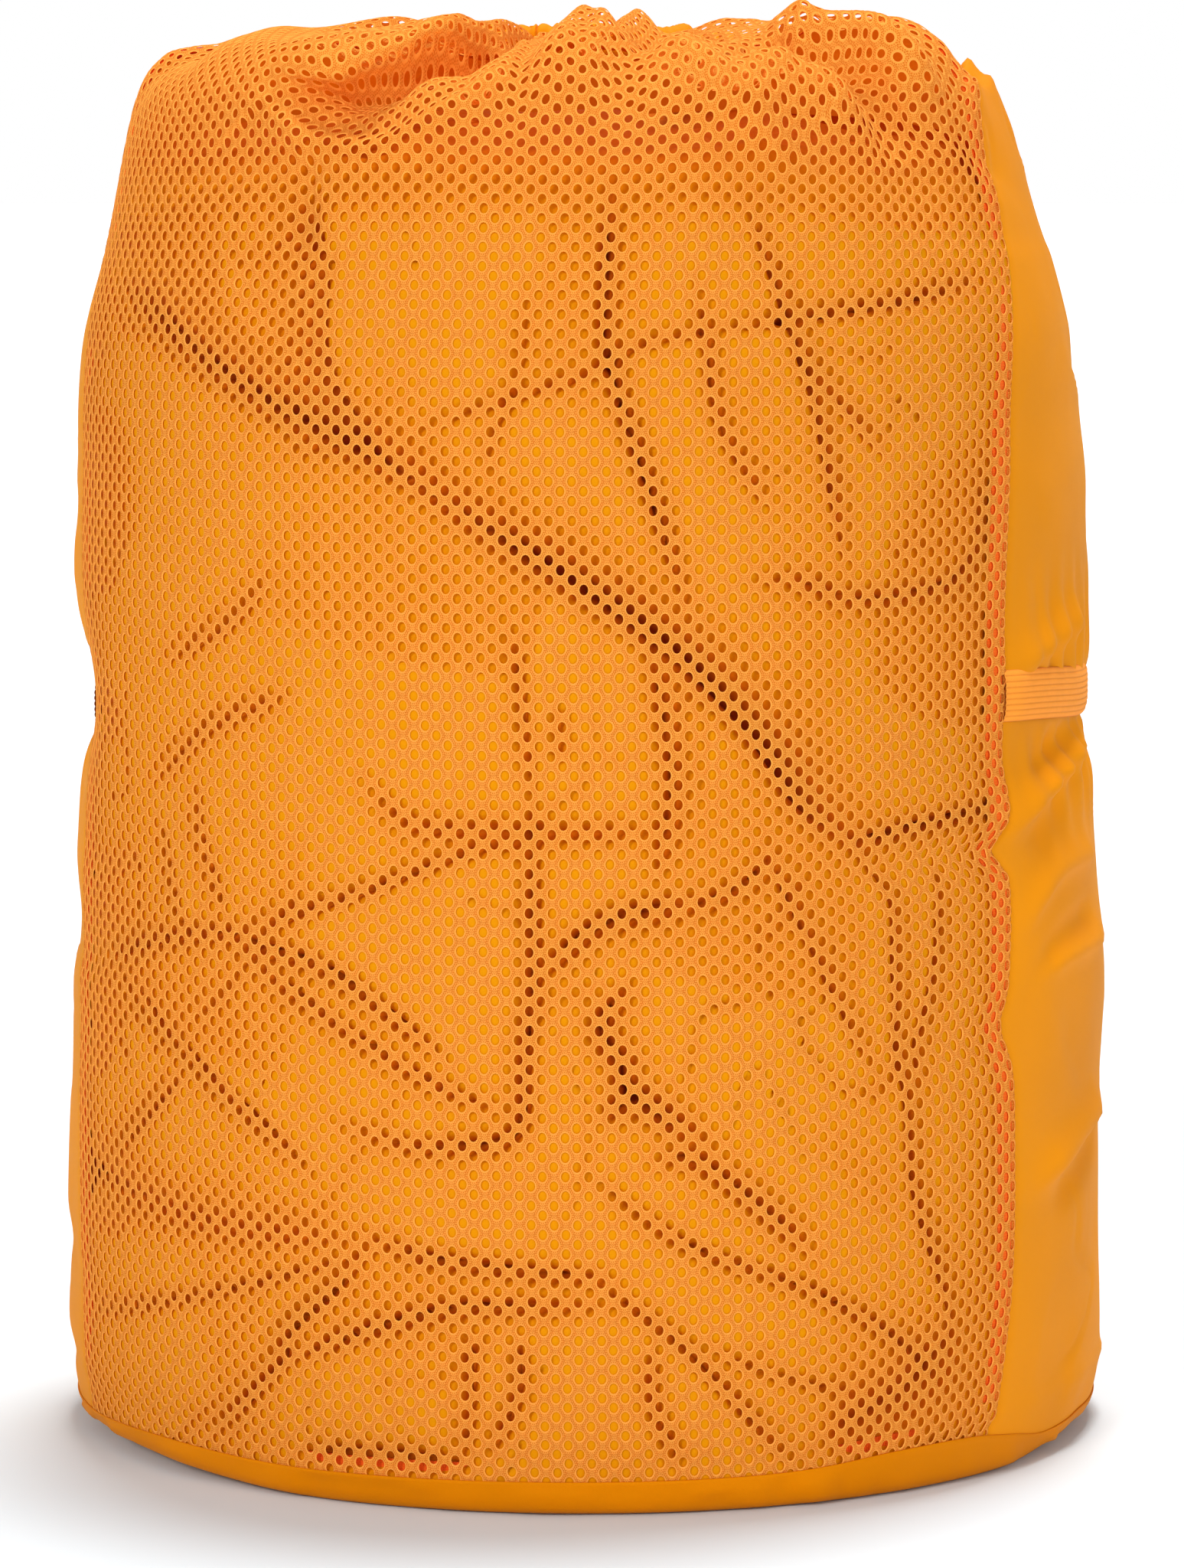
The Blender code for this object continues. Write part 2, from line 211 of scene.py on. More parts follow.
# ---- numbers ------------------------------------------------------------------------------------


def smoothstep(low, high, x):
    s = np.clip((x - low) / (high - low), 0.0, 1.0)
    return s * s * (3.0 - 2.0 * s)


def spline(points, steps):
    """A smooth curve through the points, with that many steps to each span (Catmull-Rom)."""
    p = np.array(points, float)
    p = np.vstack([2 * p[0] - p[1], p, 2 * p[-1] - p[-2]])
    s = np.linspace(0.0, 1.0, steps, endpoint=False)[:, None]
    spans = []
    for a, b, c, d in zip(p[:-3], p[1:-2], p[2:-1], p[3:], strict=True):
        spans.append(
            0.5 * (2 * b + (c - a) * s + (2 * a - 5 * b + 4 * c - d) * s**2 + (3 * b - 3 * c + d - a) * s**3)
        )
    return np.vstack([*spans, p[-2][None]])


def smooth_lookup(pairs, x):
    """A smooth function through (x, y) pairs."""
    curve = spline(pairs, 12)
    return np.interp(x, curve[:, 0], curve[:, 1])


def from_front(angle):
    """The same angle, between -180 and 180 degrees."""
    return (angle + 180.0) % 360.0 - 180.0


def ripple(x, y, size, seed):
    """A smooth random field between about -1 and 1, whose lumps are about that size."""
    rng = np.random.default_rng(seed)
    total = np.zeros(np.broadcast(x, y).shape)
    for _ in range(9):
        turn, phase = rng.uniform(0, math.pi), rng.uniform(0, 2 * math.pi)
        rate = rng.uniform(1.6, 3.6) / size
        total = total + np.sin(rate * (x * math.cos(turn) + y * math.sin(turn)) + phase + 0.8 * total)
    return total / 4.0


def to_polyline(x, y, points):
    """The signed distance to a polyline, positive on its left, the place along it, and the way to it."""
    best = np.full(x.shape, 1e9)
    signed = np.full(x.shape, 1e9)
    place, to_x, to_y = np.zeros(x.shape), np.zeros(x.shape), np.zeros(x.shape)
    steps = np.hypot(*np.diff(points, axis=0).T)
    reached, total = 0.0, steps.sum()
    for (ax, ay), (bx, by), length in zip(points[:-1], points[1:], steps, strict=True):
        dx, dy = (bx - ax) / length, (by - ay) / length
        s = np.clip((x - ax) * dx + (y - ay) * dy, 0.0, length)
        ox, oy = x - ax - s * dx, y - ay - s * dy
        distance = np.hypot(ox, oy)
        near = distance < best
        best = np.where(near, distance, best)
        signed = np.where(near, np.where(dx * oy - dy * ox >= 0, distance, -distance), signed)
        place = np.where(near, (reached + s) / total, place)
        to_x, to_y = np.where(near, -ox, to_x), np.where(near, -oy, to_y)
        reached += length
    return signed, place, to_x, to_y


def near_stroke(points, angle, t, reach):
    """Which places lie within reach of a stroke, and to_polyline for those."""
    middle = sum(p[0] for p in points) / len(points)
    near_angle = from_front(angle - middle) + middle
    line = spline([(math.radians(a) * REACH, up / 1000) for a, up in points], 4)
    x, y = np.radians(near_angle) * REACH, t
    low, high = line.min(0) - reach, line.max(0) + reach
    inside = (x > low[0]) & (x < high[0]) & (y > low[1]) & (y < high[1])
    return inside, to_polyline(x[inside], y[inside], line)


def draw_strokes(strokes, angle, t, cusp):
    """The summed depth of the strokes at each place, in metres. A cusp has a sharp bottom."""
    depth = np.zeros(angle.shape)
    for points, deep, left, right in strokes:
        inside, (signed, place, _, _) = near_stroke(points, angle, t, 0.0035 * max(left, right) + 0.004)
        wide = (0.75 if cusp else 1.0) / 1000
        far = np.abs(signed) / (np.where(signed >= 0, left, right) * wide)
        shape = np.exp(-far) if cusp else np.exp(-(far**2))
        taper = np.minimum(1.0, 4.0 * np.minimum(place, 1.0 - place) + 0.15)
        depth[inside] += deep / 1000 * shape * taper
    return depth


def drawn_along(angle, t):
    """How far the folds of the top draw the cloth along itself, in metres along x and up."""
    along, up = np.zeros(angle.shape), np.zeros(angle.shape)
    for points, deep, left, right in FOLDS:
        inside, (signed, place, to_x, to_y) = near_stroke(points, angle, t, 0.100)
        wide = np.where(signed >= 0, left, right) / 1000
        spent = np.minimum(0.31 * (deep / 1000) ** 2 / wide, 0.6 * wide)
        off = np.abs(signed) + 1e-9
        share = (1.0 - np.exp(-((off / wide) ** 2))) * np.exp(-((off / 0.045) ** 2))
        taper = np.minimum(1.0, 4.0 * np.minimum(place, 1.0 - place) + 0.15)
        along[inside] += spent * share * taper * to_x / off
        up[inside] += spent * share * taper * to_y / off
    for points, lean_along, lean_up, left, right in LEANS:
        inside, (signed, place, _, _) = near_stroke(points, angle, t, 0.060)
        shape = np.exp(-((signed / (np.where(signed >= 0, left, right) / 1000)) ** 2))
        taper = np.minimum(1.0, 4.0 * np.minimum(place, 1.0 - place))
        along[inside] += lean_along / 1000 * shape * taper
        up[inside] += lean_up / 1000 * shape * taper
    return along, up


# ---- the wall's outline -------------------------------------------------------------------------

SPAN_STEPS = 24
SHOULDER_ROW = 17  # of the profile, up to which the wall only rises
OUTLINE = spline(PROFILE, SPAN_STEPS)
_run = np.concatenate([[0.0], np.cumsum(np.hypot(*np.diff(OUTLINE, axis=0).T))])
OUTLINE_T = _run - _run[SEAM_ROW * SPAN_STEPS] + PROFILE[SEAM_ROW][1]
_slope = np.gradient(OUTLINE, OUTLINE_T, axis=0)
_slope /= np.hypot(_slope[:, 0], _slope[:, 1])[:, None]
T_LOW, T_TOP = OUTLINE_T[0], OUTLINE_T[-1]


def outline(t):
    """Radius and height at t, and the outward normal there, as (radial, vertical)."""
    r = np.interp(t, OUTLINE_T, OUTLINE[:, 0])
    z = np.interp(t, OUTLINE_T, OUTLINE[:, 1])
    return r, z, np.interp(t, OUTLINE_T, _slope[:, 1]), -np.interp(t, OUTLINE_T, _slope[:, 0])


def cloth_height(z):
    """t at a height on the straight part of the wall."""
    straight = slice(SHOULDER_ROW * SPAN_STEPS)
    return np.interp(z, OUTLINE[straight, 1], OUTLINE_T[straight])


def round_wall(columns):
    """Evenly spaced u, once round the cloth from its left seam."""
    return -HALF_MESH + WALL_WIDTH * np.arange(columns) / columns


def base_seam(angle):
    """t at the base seam."""
    return cloth_height(smooth_lookup(BASE_SEAM, from_front(angle)) / 1000)


def seam_course(t):
    """The angle from the middle of the mesh front to a side seam that doesn't stray."""
    return np.degrees(HALF_MESH / np.maximum(outline(t)[0], GATHER_RADIUS))


def seam_angles(t):
    """The angles of the left and the right seam, both positive."""
    wave = smooth_lookup(SEAM_WAVE, t * 1000)
    return seam_course(t) + 0.25 * wave, seam_course(t) + wave


def angle_at(u, t):
    """The angle of a place on the cloth."""
    middle = seam_course(t)
    left, right = seam_angles(t)
    share = np.clip(np.abs(u) / HALF_MESH, 0.0, 1.0)
    stray = np.where(u > 0, right, left) - middle
    front = np.sign(u) * (share * middle + share**4 * stray)
    behind = right + (360.0 - left - right) * (u - HALF_MESH) / (WALL_WIDTH - MESH_WIDTH)
    return np.where(u <= HALF_MESH, front, behind)


def wall_depth(angle, t):
    """How far the cloth lies in from its outline, in metres."""
    near = from_front(angle)
    away = np.abs(near)
    z = outline(t)[1]
    x = np.radians(near) * REACH
    behind = smoothstep(62.0, 80.0, away)
    depth = draw_strokes(FOLDS, angle, t, False) + draw_strokes(BACK_FOLDS, angle, t, False)

    # The elastic band draws the back in, more so on the left.
    tight = 0.0035 + 0.0035 * smoothstep(100.0, 240.0, angle % 360.0)
    off_band = (z - BAND_HEIGHT) / 0.016
    depth += tight * behind * np.exp(-np.abs(off_band) ** 1.5)
    left_end = (near < 0) * smoothstep(54.0, 68.0, away) * (1.0 - smoothstep(95.0, 120.0, away))
    depth += 0.0055 * left_end * np.exp(-((off_band / 1.3) ** 2))

    # The sides are drawn in unevenly.
    side = smoothstep(50.0, 80.0, away) * (1.0 - 0.7 * smoothstep(110.0, 150.0, away))
    drawn = np.where(near < 0, smooth_lookup(LEFT_SIDE, t * 1000), smooth_lookup(RIGHT_SIDE, t * 1000))
    depth += (drawn + 0.8) / 1000 * side

    # Pleats round the shoulder, which grow towards the mouth.
    count = 17
    phase = np.radians(near) * count + 0.9 * np.sin(3 * np.radians(near) + 1.0)
    phase = phase + 0.5 * np.sin(5 * np.radians(near))
    r = outline(t)[0]
    grown = smoothstep(0.500, 0.600, t) * (1.0 - 0.85 * (1.0 - behind) * (1.0 - smoothstep(0.595, 0.64, t)))
    swing = 0.0085 * grown * smoothstep(0.03, 0.085, r)
    depth += swing * (np.cos(phase) + 0.35 * np.cos(2 * phase + 1.0) * smoothstep(0.58, 0.64, t))

    def uneven(x):
        """Gathers above and below the band, slack in the back, and slight unevenness all over."""
        beside_band = (np.abs(off_band) > 0.6) * np.exp(-(((np.abs(off_band) - 1.6) / 1.3) ** 2))
        gathered = 0.0016 * np.sin(x * 330 + 2.2 * ripple(x, t, 0.05, 3)) * beside_band
        slack = ripple(x + t * 0.8, t * 1.7 - x * 0.5, 0.075, 5)
        crease = np.exp(-((slack / 0.16) ** 2)) * ripple(x, t, 0.11, 6)
        loose = smoothstep(0.55, 1.1, np.abs(off_band)) * (0.0022 * crease + 0.0012 * ripple(x, t, 0.06, 7))
        return behind * (gathered + loose) + 0.0009 * ripple(x, t, 0.10, 8)

    # The left side fades into the right side's pattern, so that the two meet behind.
    closing = np.where(near < 0, smoothstep(120.0, 175.0, away), 0.0)
    return depth + (1.0 - closing) * uneven(x) + closing * uneven(x + 2 * math.pi * REACH)


def leaning(radius, turned, height, lean):
    """Points at an angle in radians round the sack, moved over with its lean."""
    return np.stack([radius * np.sin(turned) - lean, -radius * np.cos(turned), height], axis=-1)


def wall_point(u, t):
    """The cloth's middle surface at (u, t), as an array of points."""
    angle = angle_at(u, t)
    depth = wall_depth(angle, t) * smoothstep(T_LOW, T_LOW + 0.03, t)
    shift_x, shift_t = drawn_along(angle, t)
    fading = smoothstep(0.0, 0.030, T_TOP - t)
    angle = angle + np.degrees(shift_x * fading / REACH)
    t = t + shift_t * fading
    r, z, out, up = outline(t)
    near = from_front(angle)
    pulled = 0.007 * smoothstep(22.0, 60.0, near) * (1.0 - smoothstep(66.0, 95.0, near))
    z = z + pulled * np.exp(-(((t - 0.190) / 0.060) ** 2))
    turned = np.radians(angle)
    radius = r - out * depth
    height = z - up * depth
    crest = smooth_lookup(CREST, radius * np.sin(turned) * 1000) / 1000
    front = 1.0 - smoothstep(-0.050, 0.005, -radius * np.cos(turned))
    front = np.maximum(front, smoothstep(0.151, 0.160, radius * np.sin(turned)))
    dropped = 0.0055 + 0.0105 * smoothstep(0.050, 0.100, np.abs(radius * np.sin(turned)))
    crest = (crest + 0.0014) * front - dropped * (1.0 - front)
    height = height + crest * smoothstep(0.500, 0.552, z) * smoothstep(0.050, 0.085, radius)
    # The edge of the base lifts a little off the floor at the sides.
    beside = np.where(near < 0, smoothstep(18.0, 55.0, -near), smoothstep(60.0, 85.0, near))
    beside = beside * (1.0 - smoothstep(110.0, 150.0, np.abs(near)))
    height = height + 0.005 * beside * (1.0 - smoothstep(0.0, 0.045, z))
    lean = LEAN * smoothstep(0.0, 0.56, height)
    return leaning(radius, turned, height, lean)


class Cloth:
    """The wall as a grid of points in (u, t), read back smoothly at any place."""

    def __init__(self, step):
        self.columns = round(WALL_WIDTH / step)
        self.rows = round((T_TOP - T_LOW) / step) + 1
        u, t = np.meshgrid(round_wall(self.columns), np.linspace(T_LOW, T_TOP, self.rows))
        self.points = wall_point(u, t)
        along = np.roll(self.points, -1, axis=1) - np.roll(self.points, 1, axis=1)
        upward = np.gradient(self.points, axis=0)
        normals = np.cross(along, upward)
        self.normals = normals / np.linalg.norm(normals, axis=-1, keepdims=True)

    def read(self, grid, u, t):
        """Catmull-Rom interpolation of a grid at each (u, t)."""
        i = (np.asarray(u) + HALF_MESH) / WALL_WIDTH * self.columns
        j = (np.asarray(t) - T_LOW) / (T_TOP - T_LOW) * (self.rows - 1)
        j = np.clip(j, 0.0, self.rows - 1.001)
        i0, j0 = np.floor(i).astype(int), np.floor(j).astype(int)
        fi, fj = (i - i0)[..., None], (j - j0)[..., None]

        def weights(f):
            return (
                0.5 * (-f + 2 * f**2 - f**3),
                0.5 * (2 - 5 * f**2 + 3 * f**3),
                0.5 * (f + 4 * f**2 - 3 * f**3),
                0.5 * (-(f**2) + f**3),
            )

        total = 0.0
        for dj, wj in zip((-1, 0, 1, 2), weights(fj), strict=True):
            row = np.clip(j0 + dj, 0, self.rows - 1)
            for di, wi in zip((-1, 0, 1, 2), weights(fi), strict=True):
                total = total + wj * wi * grid[row, (i0 + di) % self.columns]
        return total

    def at(self, u, t, out=0.0):
        """Points at (u, t), out metres outside the cloth."""
        normal = self.read(self.normals, u, t)
        normal = normal / np.linalg.norm(normal, axis=-1, keepdims=True)
        return self.read(self.points, u, t) + normal * np.asarray(out)[..., None]


# ---- meshes -------------------------------------------------------------------------------------


def in_scene(name, data):
    """A new object in the scene."""
    made = bpy.data.objects.new(name, data)
    bpy.context.scene.collection.objects.link(made)
    return made


def placed(u, v, w=0.0):
    """The points' vectors for the "place" attribute, from three numbers for each."""
    return np.stack(np.broadcast_arrays(np.asarray(u, float), v, w), axis=-1)


def make_object(name, points, faces, finish, places):
    """A smooth-shaded mesh object. places is a vector for each point, kept as "place"."""
    data = bpy.data.meshes.new(name)
    points = points.reshape(-1, 3)
    data.vertices.add(len(points))
    data.vertices.foreach_set("co", points.ravel())
    sides = faces.shape[1]
    data.loops.add(faces.size)
    data.loops.foreach_set("vertex_index", faces.ravel())
    data.polygons.add(len(faces))
    data.polygons.foreach_set("loop_start", np.arange(0, faces.size, sides))
    data.polygons.foreach_set("loop_total", np.full(len(faces), sides))
    data.update()
    data.validate()
    attribute = data.attributes.new("place", "FLOAT_VECTOR", "POINT")
    attribute.data.foreach_set("vector", places.ravel())
    data.shade_smooth()
    data.materials.append(finish)
    return in_scene(name, data)


def grid_faces(rows, columns, wrap=False, closed=False):
    """Quads of a grid of points whose rows run upwards and whose columns run to the right.

    wrap joins the last column to the first, and closed joins the last row to the first.
    """
    i = np.arange(rows if closed else rows - 1)[:, None] * columns
    j = np.arange(columns if wrap else columns - 1)[None, :]
    k = (j + 1) % columns
    quads = np.stack([i + j, i + k, i + columns + k, i + columns + j], axis=-1)
    return quads.reshape(-1, 4) % (rows * columns)


def settle(piece, slot, *nodes):
    """The piece rides with the sack and stands for CAD nodes, which are hidden."""
    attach(piece, "root")
    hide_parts(*nodes)
    return piece


# ---- materials ----------------------------------------------------------------------------------


class Finish:
    """A Principled material and short ways to add nodes to it."""

    def __init__(self, name, colour, roughness, sheen=0.0, specular=0.1):
        self.made = bpy.data.materials.new(name)
        self.made.use_nodes = True
        self.tree = self.made.node_tree
        self.shader = self.tree.nodes["Principled BSDF"]
        self.shader.inputs["Base Color"].default_value = (*colour, 1.0)
        self.shader.inputs["Roughness"].default_value = roughness
        self.shader.inputs["Specular IOR Level"].default_value = specular
        self.shader.inputs["Specular Tint"].default_value = (1.0, 0.7, 0.35, 1.0)
        self.shader.inputs["Sheen Weight"].default_value = sheen
        self.shader.inputs["Sheen Roughness"].default_value = 0.4
        self.shader.inputs["Sheen Tint"].default_value = (1.0, 0.6, 0.2, 1.0)

    def let_light_through(self, colour, share):
        """Thin cloth glows with the light that falls on its other side."""
        behind = self.node("ShaderNodeBsdfTranslucent")
        behind.inputs["Color"].default_value = (*colour, 1.0)
        mixed = self.node("ShaderNodeMixShader")
        mixed.inputs["Fac"].default_value = share
        self.link(self.shader.outputs[0], mixed.inputs[1])
        self.link(behind.outputs[0], mixed.inputs[2])
        self.link(mixed.outputs[0], self.tree.nodes["Material Output"].inputs["Surface"])

    def node(self, kind, **settings):
        made = self.tree.nodes.new(kind)
        for name, value in settings.items():
            setattr(made, name, value)
        return made

    def link(self, source, target):
        self.tree.links.new(source, target)

    def math(self, operation, *values):
        """A Math node; each value is a socket or a number."""
        made = self.node("ShaderNodeMath", operation=operation)
        for value, slot in zip(values, made.inputs, strict=False):
            if isinstance(value, (int, float)):
                slot.default_value = value
            else:
                self.link(value, slot)
        return made.outputs[0]

    def place(self):
        """The two parts of the mesh's own "place" attribute."""
        source = self.node("ShaderNodeAttribute", attribute_name="place")
        split = self.node("ShaderNodeSeparateXYZ")
        self.link(source.outputs["Vector"], split.inputs[0])
        return split.outputs[0], split.outputs[1], split.outputs[2]

    def noise(self, scale, detail=2.0):
        made = self.node("ShaderNodeTexNoise")
        made.inputs["Scale"].default_value = scale
        made.inputs["Detail"].default_value = detail
        self.link(self.node("ShaderNodeTexCoord").outputs["Object"], made.inputs["Vector"])
        return made.outputs["Fac"]

    def ramp(self, source, low, high, dark, light):
        """Maps a value from low..high to dark..light."""
        made = self.node("ShaderNodeMapRange", clamp=True)
        self.link(source, made.inputs["Value"])
        pairs = (("From Min", low), ("From Max", high), ("To Min", dark), ("To Max", light))
        for name, value in pairs:
            made.inputs[name].default_value = value
        return made.outputs["Result"]

    def shade(self, dark, light, share):
        """The base colour runs from dark to light as share runs from 0 to 1."""
        made = self.node("ShaderNodeMix", data_type="RGBA")
        made.inputs["A"].default_value = (*dark, 1.0)
        made.inputs["B"].default_value = (*light, 1.0)
        self.link(share, made.inputs["Factor"])
        self.link(made.outputs["Result"], self.shader.inputs["Base Color"])

    def bump(self, height, distance, strength):
        made = self.node("ShaderNodeBump")
        made.inputs["Distance"].default_value = distance
        made.inputs["Strength"].default_value = strength
        self.link(height, made.inputs["Height"])
        self.link(made.outputs["Normal"], self.shader.inputs["Normal"])


def tinted(colour, by):
    return tuple(min(c * by, 1.0) for c in colour)


def knit_finish():
    """Warp knit: a smooth ring of yarn round each hole, with rows of dotted stitches between."""
    f = Finish("mesh_knit", (1.0, 0.34, 0.055), 0.85, specular=0.05)
    u, v, _ = f.place()

    def to_hole(shift):
        """The distance to the nearest hole of every other row, in millimetres, and its angle."""
        du = f.math("SUBTRACT", f.math("FRACT", f.math("ADD", u, shift)), 0.5)
        dv = f.math("SUBTRACT", f.math("FRACT", f.math("ADD", v, shift)), 0.5)
        dx = f.math("MULTIPLY", du, HOLE_PITCH * 1000)
        dy = f.math("MULTIPLY", dv, ROW_PITCH * 1000 / HOLE_TALL**0.8)
        squares = f.math("ADD", f.math("MULTIPLY", dx, dx), f.math("MULTIPLY", dy, dy))
        return f.math("SQRT", squares), f.math("ARCTAN2", dy, dx)

    def dots(distance, turn, radius, count):
        """A circle of dark stitches round a hole."""
        on_ring = f.math("ABSOLUTE", f.math("SUBTRACT", distance, radius))
        spaced = f.math("SINE", f.math("MULTIPLY", turn, count))
        return f.math("MULTIPLY", f.ramp(on_ring, 0.05, 0.32, 1.0, 0.0), f.ramp(spaced, -0.3, 0.8, 0.0, 1.0))

    stitches = None
    near = None
    for shift in (0.5, 0.0):
        distance, turn = to_hole(shift)
        ring = f.math("ADD", dots(distance, turn, 2.42, 21.0), dots(distance, turn, 3.08, 27.0))
        near = distance if near is None else f.math("MINIMUM", near, distance)
        stitches = ring if stitches is None else f.math("ADD", stitches, ring)
    pits = f.math("MULTIPLY", f.math("MINIMUM", stitches, 1.0), f.ramp(near, 2.0, 2.25, 0.0, 1.0))
    mottled = f.ramp(f.noise(240.0), 0.3, 0.7, -0.08, 0.08)
    rim = f.ramp(near, HOLE_RADIUS * 1000, 2.15, 0.22, 0.0)
    light = f.math("SUBTRACT", f.math("ADD", 0.66, mottled), f.math("MULTIPLY", pits, 0.85))
    f.shade((0.68, 0.190, 0.015), (1.0, 0.455, 0.078), f.math("ADD", light, rim))
    f.bump(f.math("SUBTRACT", rim, pits), 0.00022, 0.6)
    f.let_light_through((1.0, 0.22, 0.012), 0.28)
    return f.made


def nylon_finish(name, colour, seed):
    """Plain-weave nylon: a fine weave and a faint unevenness of shade."""
    f = Finish(name, colour, 0.62, sheen=0.12, specular=0.08)
    u, v, _ = f.place()
    weft = f.math("SINE", f.math("MULTIPLY", u, 2 * math.pi / 0.0007))
    warp = f.math("SINE", f.math("MULTIPLY", v, 2 * math.pi / 0.0007))
    weave = f.math("MULTIPLY", weft, warp)
    cloudy = f.noise(9.0 + seed, 3.0)
    f.shade(tinted(colour, 0.90), tinted(colour, 1.06), f.ramp(cloudy, 0.3, 0.7, 0.0, 1.0))
    rumple = f.noise(70.0, 3.0)
    f.bump(f.math("ADD", f.math("MULTIPLY", weave, 0.06), rumple), 0.0011, 0.35)
    f.let_light_through((1.0, 0.2, 0.008), 0.22)
    return f.made


def load_finish():
    """The sleeping bag's thin shell, crumpled finely all over, with painted shade that darkens it the deeper
    it folds in.
    """
    colour = (0.66, 0.240, 0.0012)
    f = Finish("down_shell", colour, 0.6, specular=0.05)
    _, _, sunk = f.place()
    uneven = f.ramp(f.noise(40.0), 0.3, 0.7, 0.95, 1.05)
    # Painted shade: the colour runs from ochre to dark maroon with the depth held in the place attribute.
    deep = f.node("ShaderNodeValToRGB")
    f.link(f.math("DIVIDE", f.math("MULTIPLY", sunk, uneven), 15.0), deep.inputs["Fac"])
    shade_stops = ((0.0, colour), (0.13, colour), (0.34, (0.58, 0.135, 0.002)), (0.95, (0.25, 0.024, 0.001)))
    ramp = deep.color_ramp.elements
    while len(ramp) < len(shade_stops):
        ramp.new(1.0)
    for stop, (place, tone) in zip(ramp, shade_stops, strict=True):
        stop.position = place
        stop.color = (*tone, 1.0)
    f.link(deep.outputs["Color"], f.shader.inputs["Base Color"])
    f.bump(f.noise(150.0, 3.0), 0.0012, 0.5)
    return f.made


def tape_finish():
    """Woven tape: fine ribs across its length, and a fainter grain along it."""
    # The tape is coloured a deeper red than the orange cloth, as painted shade and light coming through,
    # where it shows behind the mesh's edge.
    colour, pitch = (0.86, 0.130, 0.012), 0.0011
    f = Finish("binding_tape", colour, 0.75, sheen=0.1)
    u, v, _ = f.place()
    ribs = f.math("SINE", f.math("MULTIPLY", u, 2 * math.pi / pitch))
    grain = f.math("SINE", f.math("MULTIPLY", v, 2 * math.pi / (pitch * 0.8)))
    woven = f.math("ADD", f.math("MULTIPLY", ribs, 0.6), f.math("MULTIPLY", grain, 0.4))
    mottled = f.math("ADD", woven, f.ramp(f.noise(220.0), 0.3, 0.7, -0.4, 0.4))
    f.shade(tinted(colour, 0.86), tinted(colour, 1.06), f.ramp(mottled, -1.2, 1.2, 0.0, 1.0))
    f.bump(woven, 0.00015, 0.5)
    return f.made


def elastic_finish():
    """Webbing elastic: covered rubber cords along its length, with painted shade in the grooves between
    them.
    """
    colour = (0.90, 0.290, 0.032)
    f = Finish("elastic", colour, 0.75, sheen=0.1)
    u, v, _ = f.place()
    cord = f.math("FRACT", f.math("ADD", f.math("MULTIPLY", v, RIBS / BAND_WIDTH), RIBS / 2))
    from_middle = f.math("ABSOLUTE", f.math("SUBTRACT", cord, 0.5))
    groove_and_shade = f.ramp(from_middle, 0.30, 0.50, 0.0, 1.0)
    yarn = f.math("SINE", f.math("MULTIPLY", u, 2 * math.pi / 0.0006))
    grain = f.math("ADD", f.math("MULTIPLY", yarn, 0.12), f.ramp(f.noise(300.0), 0.3, 0.7, -0.1, 0.1))
    # The grooves are sunk by the bump and also painted darker, as shade.
    share = f.math("ADD", f.math("SUBTRACT", 0.85, groove_and_shade), grain)
    f.shade(tinted(colour, 0.84), tinted(colour, 1.04), share)
    f.bump(f.math("SUBTRACT", f.math("MULTIPLY", yarn, 0.15), groove_and_shade), 0.0003, 0.5)
    return f.made


def thread_finish():
    """Sewing thread, matched to the elastic."""
    colour = (0.92, 0.32, 0.03)
    f = Finish("thread", colour, 0.6)
    f.shade(tinted(colour, 0.92), tinted(colour, 1.06), f.noise(800.0))
    return f.made


def cord_finish():
    """Braided yarn: two sets of slanting strands."""
    colour, pitch = (0.70, 0.18, 0.03), 0.0016
    f = Finish("cord", colour, 0.7, sheen=0.1)
    u, v, _ = f.place()
    one = f.math("SINE", f.math("MULTIPLY", f.math("ADD", u, v), 2 * math.pi / pitch))
    two = f.math("SINE", f.math("MULTIPLY", f.math("SUBTRACT", u, v), 2 * math.pi / pitch))
    strands = f.math("MULTIPLY", one, two)
    f.shade(tinted(colour, 0.75), tinted(colour, 1.1), f.ramp(strands, -0.8, 0.8, 0.0, 1.0))
    f.bump(strands, 0.0002, 0.6)
    return f.made


# ---- the mesh front -----------------------------------------------------------------------------

# One hole's cell, a hexagon: its corners, and the middles of its sides that slope or run level.
_end = HOLE_PITCH / 4 - ROW_PITCH**2 / (4 * HOLE_PITCH)  # half of its level side
_tip = HOLE_PITCH / 2 - _end
_quarter = [(_tip, 0.0), (HOLE_PITCH / 4, ROW_PITCH / 4), (_end, ROW_PITCH / 2), (0.0, ROW_PITCH / 2)]
_half = _quarter + [(-x, y) for x, y in _quarter[2:0:-1]]
CELL = np.array(_half + [(-x, -y) for x, y in _half])
TUCK = 0.006  # how far the knit runs on past a seam, out of sight


def hole_cells():
    """The middle of every hole, in (u, t)."""
    rows = np.arange(math.ceil((T_TOP - T_LOW) / (ROW_PITCH / 2)))
    columns = np.arange(-30, 31)
    row, column = np.meshgrid(rows, columns, indexing="ij")
    u = (column + 0.5 * (row % 2)) * HOLE_PITCH
    t = T_LOW + row * ROW_PITCH / 2
    keep = (np.abs(u) <= HALF_MESH + 0.0035) & (t < T_TOP - 0.002)
    u, t = u[keep], t[keep]
    above = t > base_seam(angle_at(np.clip(u, -HALF_MESH, HALF_MESH), t)) - TUCK
    return u[above], t[above]


